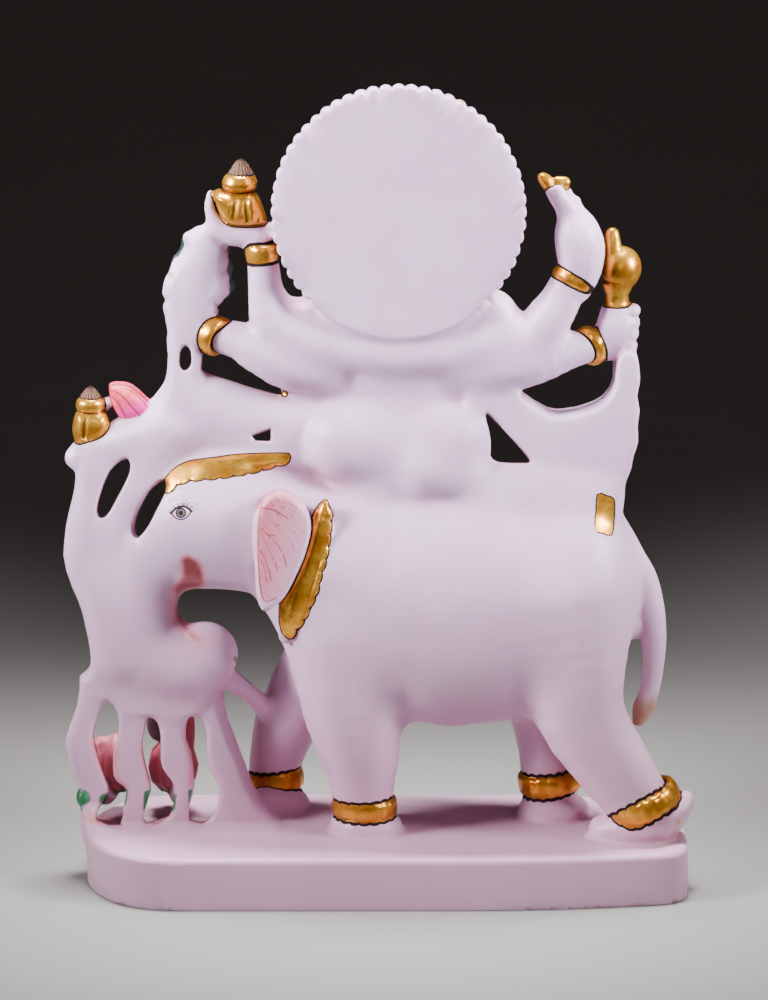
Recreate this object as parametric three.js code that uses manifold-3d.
// A marble idol of a six-armed rider on an elephant with many trunks, carved in one with its plinth.
// Millimetres, +Z up. The elephant faces -X, and the rider sits across it and faces +Y. The plain,
// smoothed back of the carving is its -Y side. The origin is the middle of the plinth's underside.
import * as THREE from 'three';
import { mergeVertices } from 'three/addons/utils/BufferGeometryUtils.js';
import Module from 'manifold-3d';

const wasm = await Module();
wasm.setup();

// Driving dimensions
const PLINTH = { left: -169.5, right: 168, half: 60, height: 29.6, round: 3 };
const PLINTH_CUTS = { left: [30, 34], right: [50, 12] }; // length along X and Y of each cut-off corner
const MID = 4; // the elephant's own middle plane
const BARREL_DEPTH = 0.72; // how flat the barrel is from side to side
const HALO = { x: 6, z: 383.6, radius: 68.8, scallop: 1.9, count: 60, back: -20, thick: 11 };
const COLUMN = {
  bottom: [-110, 288], top: [-99, 369], lobes: 6.5, lobe: 1.6,
  widths: [[9, 8], [9, 7], [10, 6], [11, 6], [14, 8], [16, 12], [13, 11], [8, 10], [4, 5]], // left, right
};
const HEAD = { x: 6.4, y: 12, z: 362 };
const BAND = 3.8; // half the width of a bangle
const HOLE_SLOPE = 0.25; // how much the drilled holes drop toward the front
const QUARTER = Math.PI / 2;

const vector = ([x, y, z]) => new THREE.Vector3(x, y, z);
const join = (solids) => solids.reduce((whole, next) => whole.add(next));
const mirrored = (make) => [-1, 1].map(make);

// Joins a geometry's vertices and makes it a solid.
function solid(geometry) {
  const bare = geometry.clone();
  bare.deleteAttribute('normal');
  bare.deleteAttribute('uv');
  const merged = mergeVertices(bare, 1e-4);
  return new wasm.Manifold(new wasm.Mesh({
    numProp: 3,
    vertProperties: merged.attributes.position.array,
    triVerts: new Uint32Array(merged.index.array),
  }));
}

// A round limb through stations [x, y, z, radius], flattened along Y by depth, with blunt or full ends.
function limb(stations, { sides = 6, rings = 1, depth = 1, full = false } = {}) {
  const path = new THREE.CatmullRomCurve3(stations.map(vector), false, 'centripetal');
  const girth = new THREE.CatmullRomCurve3(stations.map(([, , , r], i) => new THREE.Vector3(r, 40 * i, 0)));
  const flat = new THREE.Vector3(1, depth, 1);
  const loops = [];
  let across = new THREE.Vector3(0, 1, 0);
  const loop = (t, sign, angle) => {
    const along = path.getTangent(t);
    const radius = girth.getPoint(t).x;
    const shift = along.clone().multiply(flat).multiplyScalar(sign * radius * Math.sin(angle));
    const centre = path.getPoint(t).add(shift);
    across = across.clone().addScaledVector(along, -across.dot(along)).normalize();
    const third = new THREE.Vector3().crossVectors(along, across);
    loops.push(Array.from({ length: sides }, (_, i) => {
      const turn = (2 * Math.PI * i) / sides;
      const offset = new THREE.Vector3()
        .addScaledVector(third, Math.cos(turn))
        .addScaledVector(across, -Math.sin(turn));
      return centre.clone().add(offset.multiply(flat).multiplyScalar(radius * Math.cos(angle)));
    }));
  };
  const tip = (t, sign) => path.getPoint(t)
    .addScaledVector(path.getTangent(t).multiply(flat), sign * girth.getPoint(t).x * (full ? 1 : 0.6));
  const count = rings * (stations.length - 1);
  if (full) loop(0, -1, QUARTER / 2);
  for (let i = 0; i <= count; i += 1) loop(i / count, 0, 0);
  if (full) loop(1, 1, QUARTER / 2);
  const points = [...loops.flat(), tip(0, -1), tip(1, 1)];
  const [start, end, last] = [points.length - 2, points.length - 1, (loops.length - 1) * sides];
  const faces = [];
  for (let j = 0; j < sides; j += 1) {
    const k = (j + 1) % sides;
    faces.push(start, k, j, end, last + j, last + k);
    for (let i = 0; i < last; i += sides) {
      faces.push(i + j, i + k, i + sides + k, i + j, i + sides + k, i + sides + j);
    }
  }
  return solid(new THREE.BufferGeometry().setFromPoints(points).setIndex(faces));
}

// An ellipsoid with the given half sizes, turned by angles about X, Y and Z.
function ball([x, y, z], [rx, ry, rz], { turn = [0, 0, 0], sides = 6 } = {}) {
  const geometry = new THREE.SphereGeometry(1, sides, sides / 2).scale(rx, ry, rz);
  return solid(geometry.rotateX(turn[0]).rotateY(turn[1]).rotateZ(turn[2]).translate(x, y, z));
}

// A closed shape through points [x, z], rounded through them or with straight sides.
function outline(points, steps = 2) {
  if (steps < 2) return new THREE.Shape(points.map(([x, z]) => new THREE.Vector2(x, z)));
  const places = points.map(([x, z]) => new THREE.Vector3(x, z, 0));
  const ring = new THREE.CatmullRomCurve3(places, true, 'centripetal');
  const round = ring.getPoints(points.length * steps).slice(0, -1);
  return new THREE.Shape(round.map((point) => new THREE.Vector2(point.x, point.y)));
}

// A slab in the XZ plane, from y = back to y = front, with its edges rounded off.
function slab(shape, back, front, edge = 0) {
  const geometry = new THREE.ExtrudeGeometry(shape, {
    depth: front - back - 2 * edge,
    bevelEnabled: edge > 0,
    bevelSize: edge,
    bevelOffset: -edge,
    bevelThickness: edge,
    bevelSegments: 1,
  });
  return geometry.rotateX(QUARTER).translate(0, front - edge, 0);
}

// What a drill takes away: a shape measured at depth y, run through to both sides.
function bore(points, y = MID, steps = 2) {
  const slope = new THREE.Matrix4().makeShear(0, 0, 0, -HOLE_SLOPE, 0, 0);
  return solid(slab(outline(points, steps), -80, 80).applyMatrix4(slope).translate(0, 0, HOLE_SLOPE * y));
}

// A turned form: [radius, height] pairs about an upright axis at place, leaned over by nod and tilt.
function turned(profile, [x, y, z], { tilt = 0, nod = 0, sides = 10, depth = 1 } = {}) {
  const geometry = new THREE.LatheGeometry(profile.map(([r, h]) => new THREE.Vector2(r, h)), sides);
  geometry.rotateX(QUARTER).scale(1, depth, 1).rotateX(nod).rotateY(tilt).translate(x, y, z);
  return solid(geometry);
}

// A bangle round an axis at place, with its bead standing out by swell.
function bangle([x, y, z], radius, { swell = 2.4, tilt = 0, nod = 0, depth = 1, sides = 8 } = {}) {
  const edge = radius + 0.8;
  const profile = [[0, -BAND], [edge, -BAND], [radius + swell, 0], [edge, BAND], [0, BAND]];
  return turned(profile, [x, y, z], { tilt, nod, sides, depth });
}

// The plinth, with a cut-off corner at each end of the back and of the front.
function plinth() {
  const { left, right, half, height, round } = PLINTH;
  const [[lx, ly], [rx, ry]] = [PLINTH_CUTS.left, PLINTH_CUTS.right];
  const corners = [
    [left, ly - half], [left + lx, -half], [right - rx, -half], [right, ry - half],
    [right, half - ry], [right - rx, half], [left + lx, half], [left, half - ly],
  ];
  const block = new THREE.ExtrudeGeometry(outline(corners, 1), {
    depth: height,
    bevelEnabled: true,
    bevelSize: round,
    bevelOffset: -round,
    bevelThickness: round,
    bevelSegments: 2,
  });
  const below = new THREE.BoxGeometry(2 * (right - left), 4 * half, height).translate(0, 0, -height / 2);
  return solid(block.translate(0, 0, -round)).subtract(solid(below));
}

// Each leg: its stations, its foot and the place, radius and lean of its anklet.
const LEGS = [
  {
    stations: [
      [-23, -6, 140, 33], [-19.5, -8, 106, 28], [-17, -8, 86, 25], [-14.5, -7, 68, 20.5], [-13, -6, 44, 16],
    ],
    feet: [[[-12, -7, 34], [20, 19, 9]]],
    anklet: [[-12.6, -6, 43.3], 15.5, 0],
  },
  {
    stations: [
      [102, -10, 165, 34], [105, -15, 134, 28], [107.4, -17, 102, 24.5], [124.5, -18, 73, 21.3],
      [142, -18, 48, 18],
    ],
    feet: [[[136, -18, 35], [24, 19, 10]], [[159.5, -18, 45.5], [12.5, 15, 10.5]]],
    anklet: [[143.1, -18, 48.9], 18.6, -0.46],
  },
  {
    stations: [
      [-31, 24, 132, 22], [-47, 30, 100.5, 20.5], [-57.8, 33, 79, 18], [-64, 36, 54, 14.6], [-64, 36, 42, 14],
    ],
    feet: [[[-63, 36, 33], [18, 17, 8]]],
    anklet: [[-63.7, 36, 43.4], 13.4, -0.1],
  },
  {
    stations: [
      [90, 22, 122, 28], [89, 22, 100, 22.5], [89, 22, 87, 18.8], [90.4, 21, 68, 15.8], [92.5, 20, 44, 15.5],
    ],
    feet: [[[95, 20, 34], [20, 18, 9]]],
    anklet: [[92.8, 20, 47.3], 15.5, -0.06],
  },
];

function legs() {
  return join(LEGS.flatMap(({ stations, feet, anklet: [place, radius, tilt] }) => [
    limb(stations, { sides: 8, full: true }),
    ...feet.map(([at, size]) => ball(at, size, { sides: 8 })),
    bangle(place, radius, { tilt, sides: 8 }),
  ]));
}

const BARREL = [[-22, MID, 178, 48], [18, MID, 159, 67.5], [63, MID, 159, 67], [94, MID, 171, 50]];

function barrel() {
  const chest = limb([[-34, MID, 184, 42], [-57, MID, 199, 36], [-84, MID, 206, 35]], {
    depth: 0.8, sides: 12, full: true,
  });
  const sheath = limb([[34, -6, 112, 10], [36, -6, 102, 9]]);
  return join([limb(BARREL, { sides: 16, rings: 2, depth: BARREL_DEPTH, full: true }), chest, sheath]);
}

function head() {
  const skull = limb([
    [-66, MID, 205, 35], [-80, MID, 207, 36], [-102, MID, 207, 34], [-112, MID, 200, 29], [-119, MID, 193, 24],
  ], { depth: 0.86, sides: 12 });
  const crest = limb([[-112, MID, 233, 4], [-96, MID, 241, 5], [-60, MID, 243, 5], [-46, MID, 241, 4]], {
    depth: 3,
  });
  const ears = mirrored((side) => limb([
    [-58, MID + 30 * side, 228, 10], [-58, MID + 32 * side, 205, 13.5],
    [-63, MID + 31 * side, 185, 10], [-66.5, MID + 29 * side, 168.6, 5],
  ], { depth: 0.4 }));
  const collars = mirrored((side) => limb([
    [-34, MID + 31 * side, 223, 4], [-38, MID + 34 * side, 204, 7],
    [-45, MID + 32 * side, 181, 9.5], [-51, MID + 28 * side, 159, 7.6], [-53.8, MID + 26 * side, 149.5, 5],
  ], { depth: 0.6 }));
  const jaw = limb([[-108.5, MID, 179, 11], [-84, MID, 181, 11.5], [-62, MID, 181, 12]], { depth: 1.7 });
  return join([skull, crest, jaw, ...ears, ...collars]);
}

// The great trunk, the two that it raises and the four that stand on the plinth.
const TRUNKS = [
  [
    [-112, MID, 203, 22], [-133, MID, 184, 24.5], [-142, 2, 158, 25], [-134, 2, 136, 24],
    [-114, 0, 127, 21.5], [-101, -2, 131.6, 18.7],
  ],
  [
    [-164, MID, 252, 8], [-163, MID, 240, 9.5], [-165, MID, 223, 8], [-168.5, MID, 201, 9.5],
    [-167.5, MID, 180, 12], [-157, MID, 157, 12.5], [-150, MID, 128, 14],
  ],
  [[-118, MID, 259, 14], [-133, MID, 238, 9], [-143, MID, 218, 8], [-154, MID, 195, 10], [-155, MID, 172, 12]],
  [
    [-160.5, MID, 132, 9.5], [-164, MID, 115, 8], [-166, MID, 102, 7.6], [-170, MID, 91, 7.5],
    [-173, MID, 78, 7.5], [-169.5, 5, 64.5, 8], [-166, 7, 51, 7.6], [-163, 8, 32, 8.5],
  ],
  [
    [-144, MID, 114, 11], [-143.5, MID, 99, 8], [-143.5, MID, 85, 7], [-143, 5, 70, 7.3],
    [-140.5, 6, 56, 7], [-141, 8, 32, 8],
  ],
  [
    [-120.5, MID, 113, 13], [-120, MID, 99, 9], [-120, MID, 85, 7], [-117.5, 5, 70, 7],
    [-114.5, 6, 55, 5.5], [-117, 8, 32, 6.5],
  ],
  [[-102, 2, 113, 10], [-99, MID, 97, 5.6], [-95, 6, 76, 6.5], [-91, 8, 62, 8.5], [-84, 12, 35, 13]],
];

function trunks() {
  const strut = limb([[-92, MID, 118, 6], [-79, 12, 105, 5.5], [-68, 22, 92, 6]]);
  const lip = ball([-172, MID, 241], [6, 7, 5], { turn: [0, 0.5, 0] });
  const sill = new THREE.ExtrudeGeometry(outline([
    [-52, 28], [-30, 30], [-14, 33.4], [-5, 33.8], [4, 32], [10, 28],
  ], 1), { depth: 100, bevelEnabled: false }).rotateX(QUARTER).rotateZ(QUARTER).translate(-164, 0, 0);
  const block = slab(outline([
    [-164, 250], [-140, 258], [-60, 268], [-24, 262], [-24, 228], [-95, 238], [-124, 222], [-140, 150],
    [-125, 125], [-92, 120], [-99, 107], [-108, 94], [-120, 90], [-131, 95], [-144, 94], [-156, 102],
    [-164, 106], [-164, 125], [-158, 140], [-162, 160], [-168, 200], [-164, 235],
  ], 1), -5, 13);
  return join([
    solid(block),
    limb(TRUNKS[0], { sides: 12, rings: 2, depth: 0.68, full: true }),
    ...TRUNKS.slice(1).map((stations) => limb(stations)),
    strut,
    lip,
    solid(sill),
  ]);
}

const LOTUSES = [
  { x: -156, y: 25, bottom: 43, top: 69, from: -165 },
  { x: -129.5, y: 25, bottom: 43, top: 71, from: -141 },
  { x: -115, y: 25, bottom: 43, top: 67, from: -115 },
];

function tail() {
  const root = ball([137, 0, 149], [8, 9, 10]);
  return limb([
    [118, 2, 200, 13], [129, 2, 189, 11], [137.5, 1, 179, 10], [142.5, 1, 168, 9.5], [145.8, 0, 157, 8.8],
    [148.4, -2, 141, 7.3], [148.7, -4, 125, 5.8], [146.7, -5, 111, 5.4], [143, -7, 101, 6], [141, -8, 93, 3.5],
  ]).add(root);
}

// A water pot with a coconut on it: a bell, a rim and a pointed top.
function pot(place, width, height, options) {
  const profile = [
    [0, 0], [0.98, 0.04], [0.8, 0.5], [0.62, 0.56], [0.68, 0.67], [0.48, 0.79], [0.4, 0.88], [0, 1],
  ];
  return turned(profile.map(([r, h]) => [(r * width) / 2, h * height]), place, options);
}

// The leafy column's outline, swelling toward the middle of its height, with lobed leaves for edges.
function leaves() {
  const { bottom, top, widths, lobes, lobe } = COLUMN;
  const count = 3 * (widths.length - 1);
  const edge = (side) => Array.from({ length: count + 1 }, (_, i) => {
    const rise = i / count;
    const step = Math.min(Math.floor(rise * (widths.length - 1)), widths.length - 2);
    const share = rise * (widths.length - 1) - step;
    const [from, to] = [widths[step], widths[step + 1]].map((pair) => pair[side]);
    const out = from + (to - from) * share + lobe * Math.abs(Math.sin(Math.PI * rise * lobes));
    const middle = bottom.map((value, axis) => value + (top[axis] - value) * rise);
    return [middle[0] + (side ? out : -out), middle[1]];
  });
  return solid(slab(outline([...edge(0), ...edge(1).reverse()], 1), -6, 7));
}

// The stone left between the raised trunks and the rider's left arms, with the leafy column on it.
function leftWeb() {
  const web = limb([
    [-170, MID, 244, 6], [-154, MID, 251, 11], [-131, MID, 256, 15], [-104, MID, 269, 21],
    [-81, MID, 264, 20], [-56, MID, 258, 20], [-30, MID, 256, 22],
  ], { depth: 0.6 });
  const stem = limb([
    [-110, 4, 280, 12], [-111, 3, 302, 9], [-109, 2, 322, 10], [-103, 0, 350, 9.5], [-97, -1, 368, 6.5],
  ], { depth: 0.8 });
  const bud = limb([[-150, 6, 280, 4], [-146, 6, 277.5, 7.5], [-139, 6, 272.5, 8.8], [-130, 6, 267.5, 6]]);
  const bridge = ball([-153.5, 6, 271.5], [5.5, 5, 5]);
  return join([web, stem, leaves(), bud, bridge, pot([-163.6, MID, 249.5], 21.5, 33.5, { sides: 10 })]);
}

// The stone left between the mace and the elephant's rump.
function rightWeb() {
  const sheet = slab(outline([
    [45, 283], [73, 278], [88, 269.5], [98, 268.5], [109, 271], [119, 276], [126, 286], [131, 299],
    [137, 295], [137.5, 278], [138.3, 262], [137, 248], [132, 232], [123, 217], [96, 208], [46, 212],
  ]), -14, 14, 2.5);
  const shaft = limb([[129, 10, 300, 4], [131, 12, 270, 4], [129, 12, 240, 4]]);
  return solid(sheet).add(shaft);
}

function rider() {
  const back = limb([[6.6, 5, 318, 37], [6.6, 5, 300, 36], [8, 5, 277, 31], [6, 4, 238, 38]], {
    depth: 0.62, sides: 10,
  });
  const yoke = limb([[-47, 0, 315, 18], [-22, 2, 318, 21], [40, 2, 318, 21], [56, 0, 323, 17]], {
    depth: 0.85, full: true,
  });
  const hips = limb([[-26, 2, 250, 20], [5, 3, 251, 24], [29, 2, 250, 20]], {
    sides: 10, full: true,
  });
  const folded = limb([
    [-6, 18, 250, 19], [-30, 34, 251, 16], [-41, 40, 247, 14], [-14, 50, 240, 10], [12, 53, 236, 8],
  ]);
  const hanging = limb([
    [14, 20, 248, 19], [34, 36, 243, 15], [38, 45, 231, 12], [36, 52, 196, 10], [34, 54, 164, 8],
  ]);
  const foot = ball([31, 55, 155], [13, 8, 6], { turn: [0, -0.2, 0] });
  return join([back, yoke, hips, folded, hanging, foot]);
}

function crownedHead() {
  const { x, y, z } = HEAD;
  const face = ball([x, y, z], [19, 20, 26], { sides: 10 });
  const neck = limb([[x, y - 6, z - 40, 12], [x, y - 4, z - 18, 11]]);
  const ears = mirrored((side) => ball([x + 19 * side, y - 2, z - 4], [4, 5, 9]));
  const nose = limb([[x, y + 18, z + 4, 1.6], [x, y + 21, z - 4, 3.2]]);
  const mouth = ball([x, y + 16.5, z - 12], [5.5, 4, 2.4]);
  const crown = turned([
    [0, 0], [22.5, 2], [21, 14], [17, 18], [17.5, 25], [12, 31], [12, 37], [4, 50], [0, 55],
  ], [x, y - 2, z + 9], { sides: 8 });
  return join([face, neck, ...ears, nose, mouth, crown]);
}

// Each arm: its stations, and the place, radius and lean of its bangle.
const ARMS = [
  {
    stations: [
      [-44, 1, 310, 18], [-60, -2, 321, 14.5], [-66, -4, 337, 9.8], [-67.5, -4, 353, 8.6], [-71, -3, 364, 8],
    ],
    band: [[-67.6, -4, 359], 8.2, { tilt: 0.12 }],
  },
  {
    stations: [
      [-31, 1, 295, 17], [-54, 0, 298, 16.5], [-69, -1, 304, 14], [-81, 0, 309, 10.4], [-98, 2, 312.5, 9],
      [-105, 4, 315, 8],
    ],
    band: [[-94, 1, 311], 9, { tilt: -1.18, nod: -0.6 }],
  },
  {
    stations: [[-36, 6, 304, 15], [-44, 20, 286, 12], [-44, 32, 274, 9.5], [-28, 44, 268, 8]],
    band: [[-42, 34, 273], 8.6, { tilt: 0.7, nod: 0.7, sides: 6 }],
  },
  {
    stations: [
      [58, 1, 309, 18], [79, -2, 311, 14.5], [89, -4, 323, 12.6], [95, -4, 333, 10.8], [101, -4, 346, 10],
    ],
    band: [[100.4, -4, 343], 10.2, { tilt: 0.48 }],
  },
  {
    stations: [
      [38, 1, 296, 18], [80, -1, 300, 15.5], [99, 0, 303.8, 11], [110, 1, 305.6, 9], [118, 2, 307, 8],
    ],
    band: [[112, 2, 305.5], 9.2, { tilt: 1.18, nod: -0.6 }],
  },
  {
    stations: [[50, 6, 304, 15], [57, 22, 284, 11.5], [55, 34, 274, 9], [42, 45, 268, 8]],
    band: [[50, 40, 271], 8.2, { tilt: -0.9, nod: 0.6, sides: 6 }],
  },
];

function arms() {
  const hands = [
    limb([
      [-62, -2, 370, 5], [-72, -3, 369.5, 7], [-83, -3, 369, 7], [-93, -3, 373, 5.5], [-96.4, -3, 384, 3.2],
      [-95, -3, 390.5, 2.8],
    ]),
    ball([-106, 6, 316], [9, 8, 10]),
    ball([-22, 47, 267], [9, 7, 6]),
    limb([
      [104.6, -4, 345, 10], [105.7, -4, 356, 13.2], [104.2, -4, 367, 13.6], [101.2, -4, 378.4, 9],
      [97.6, -4, 386, 7.4], [92.3, -4, 393, 6],
    ], { sides: 8 }),
    limb([[121, 2, 307, 10], [126, 2, 315.5, 12], [126.5, 2, 324, 10]]),
    ball([36, 49, 270], [9, 7, 9]),
  ];
  const knuckles = limb(Array.from({ length: 9 }, (_, i) => [
    134.4 - 0.35 * i, 2, 327 - 4.4 * i, i % 2 ? 5 : 3.9,
  ]), { depth: 1.2 });
  const held = [
    pot([-80.2, -3, 374.5], 28.5, 35, { tilt: -0.05 }),
    ball([126, 2, 349], [11.3, 11.3, 12], { sides: 10 }),
    limb([[122, 2, 358, 4.5], [121.7, 2, 368.5, 3.6]]),
    turned([[0, 0], [6.6, 0], [6.2, 6], [9.5, 14], [0, 14]], [126, 2, 327.5], { sides: 8 }),
    limb([[84.6, -4, 400, 3.4], [87.6, -4, 397, 4.4], [91, -4, 391, 5]]),
    ball([94, -4, 397], [4.6, 4.2, 3.4], { turn: [0, 0.3, 0] }),
  ];
  const limbs = ARMS.flatMap(({ stations, band: [place, radius, turn] }) => [
    limb(stations),
    bangle(place, radius, turn),
  ]);
  return join([...limbs, ...hands, knuckles, ...held]);
}

// The halo: a disc with a scalloped rim, and the plain boss behind the crown.
function halo() {
  const { x, z, radius, scallop, count, back, thick } = HALO;
  const rim = Array.from({ length: count * 2 }, (_, i) => {
    const out = i % 2 ? radius : radius - scallop;
    const angle = (Math.PI * i) / count;
    return [x + out * Math.cos(angle), z + out * Math.sin(angle)];
  });
  const boss = turned([[0, 0], [42, 0], [38, 6], [0, 6]], [x, back + thick + 4, z - 14], {
    nod: -QUARTER, sides: 12,
  });
  return solid(slab(outline(rim, 1), back, back + thick)).add(boss);
}

// The lotuses that the standing trunks hold up in front of them, each on a bent stalk.
function lotuses() {
  const petals = [[0, 0], [5, 0.04], [9, 0.45], [6, 0.85], [0, 1]];
  return join(LOTUSES.flatMap(({ x, y, bottom, top, from }) => [
    turned(petals.map(([r, h]) => [r, h * (top - bottom)]), [x, y, bottom], { sides: 6 }),
    limb([[from, 8, bottom + 8, 5.5], [(from + x) / 2, 17, bottom - 1, 5], [x, y, bottom + 5, 4]]),
  ]));
}

// What the mason drilled through the stone webs.
function drilled() {
  return join([
    bore([[-110.4, 305.5], [-107.5, 302.5], [-107.5, 295], [-111, 291.5], [-114, 294.5], [-113.5, 302.5]], 3),
    bore([[-102, 292], [-101, 303], [-60, 303], [-57.3, 277.5], [-78, 283.5]], 2, 1),
    bore([[-74.5, 254.3], [-64, 258.3], [-64, 251.5], [-72.3, 251.8]], MID, 1),
    bore([[-151.2, 271], [-148.4, 268], [-151.2, 264], [-154.1, 267.5]], 6),
    bore([[-144, 241.5], [-141.8, 235], [-147, 223], [-155, 209.5], [-160, 209], [-160, 217.5], [-153.3, 235]]),
    bore([
      [-123, 229.5], [-122.3, 222], [-131.6, 203.5], [-138, 196], [-141, 201], [-138, 212], [-131.5, 223.5],
    ]),
    bore([[53.4, 265.5], [56, 267.5], [66, 257], [77.8, 243], [76, 240], [57.4, 241.7], [55.5, 252]], 0),
  ]);
}

const carved = join([
  plinth(), legs(), barrel(), head(), trunks(), tail(), leftWeb(), rightWeb(), halo(), lotuses(),
]).subtract(drilled());
const whole = join([carved, rider(), arms(), crownedHead()]);

const { vertProperties, triVerts, numProp } = whole.getMesh();
const positions = Array.from({ length: vertProperties.length / numProp }, (_, i) => (
  new THREE.Vector3().fromArray(vertProperties, i * numProp)
));
const geometry = new THREE.BufferGeometry()
  .setFromPoints(positions)
  .setIndex(new THREE.BufferAttribute(new Uint32Array(triVerts), 1));
geometry.computeVertexNormals();

const marble = new THREE.MeshStandardMaterial({ color: 0xe4dbe6, roughness: 0.35, metalness: 0 });
const idol = new THREE.Mesh(geometry, marble);
idol.name = 'idol';

const group = new THREE.Group();
group.add(idol);

export default group;
